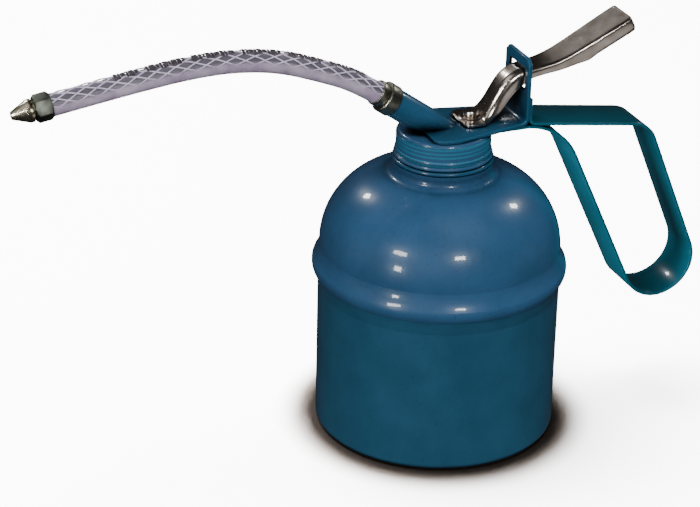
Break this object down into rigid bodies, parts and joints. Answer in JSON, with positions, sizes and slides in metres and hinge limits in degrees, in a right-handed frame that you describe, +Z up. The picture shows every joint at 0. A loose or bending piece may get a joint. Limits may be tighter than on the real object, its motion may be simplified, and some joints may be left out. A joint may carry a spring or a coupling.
{
  "type": "oil can",
  "caption": "Round-shouldered metal oil can with a screw-on pump head, thumb lever, loop handle and a flexible hose spout with a tapered nozzle.",
  "frame": {"origin": "centre of the underside of the base", "axes": "+Z up, spout towards -X, handle and thumb lever towards +X"},
  "size_m": [0.2704, 0.0968, 0.1625],
  "materials": {
    "paint": "gloss",
    "bright_nickel": "polished, with soft forming marks",
    "dull_steel": "dull, slightly olive plating",
    "tip_brass": "turned, lightly nickelled",
    "braided_hose": "clear skin over a white braid",
    "black_rubber": "matt",
    "pump_brass": "drawn tube, satin",
    "zinc_steel": "zinc plated, satin",
    "ball_steel": "polished",
    "leather_cup": "oiled",
    "spring_steel": "bright drawn wire"
  },
  "bodies": {
    "can": {"can_body": "paint", "dome": "paint", "neck": "paint"},
    "head": {"screw_cap": "paint", "cap_gasket": "black_rubber", "bracket": "paint", "handle": "paint", "spout_stub": "paint", "hose_nut": "dull_steel", "hose_collar": "dull_steel", "hose_barb": "pump_brass", "delivery_tube": "pump_brass", "hose": "braided_hose", "tip_insert": "pump_brass", "tip_nut": "dull_steel", "nozzle": "tip_brass", "gland_bush": "pump_brass", "packing_washer": "leather_cup", "pump_barrel": "pump_brass", "foot_valve": "pump_brass", "ball_stop": "zinc_steel", "dip_tube": "zinc_steel", "strainer": "pump_brass", "return_spring": "spring_steel"},
    "plunger": {"lever_rod": "bright_nickel", "piston": "pump_brass", "cup_leather": "leather_cup", "piston_nut": "zinc_steel"},
    "thumb_lever": {"lever": "bright_nickel"},
    "outlet_disc": {"piston_valve": "zinc_steel"},
    "foot_ball": {"inlet_ball": "ball_steel"}
  },
  "joints": [
    {"name": "head_lift", "type": "slide", "parent": "can", "child": "head", "axis": [0, 0, 1], "range_m": [0, 0.125]},
    {"name": "rod_slide", "type": "slide", "parent": "head", "child": "plunger", "axis": [0, 0, 1], "range_m": [0, 0.007], "stiffness_N_per_m": 600, "springref_m": -0.004, "deforming": ["return_spring"]},
    {"name": "lever_tilt", "type": "hinge", "parent": "plunger", "child": "thumb_lever", "pos_m": [0.01085, 0, 0.12465], "axis": [0, 1, 0], "range_deg": [0, 20]},
    {"name": "outlet_disc_lift", "type": "slide", "parent": "plunger", "child": "outlet_disc", "axis": [0, 0, 1], "range_m": [0, 0.0008]},
    {"name": "foot_ball_lift", "type": "slide", "parent": "head", "child": "foot_ball", "axis": [0, 0, 1], "range_m": [0, 0.0008]}
  ],
  "couplings": [
    {"joint": "lever_tilt", "follows": "rod_slide", "rad_per_m": 48.9}
  ]
}
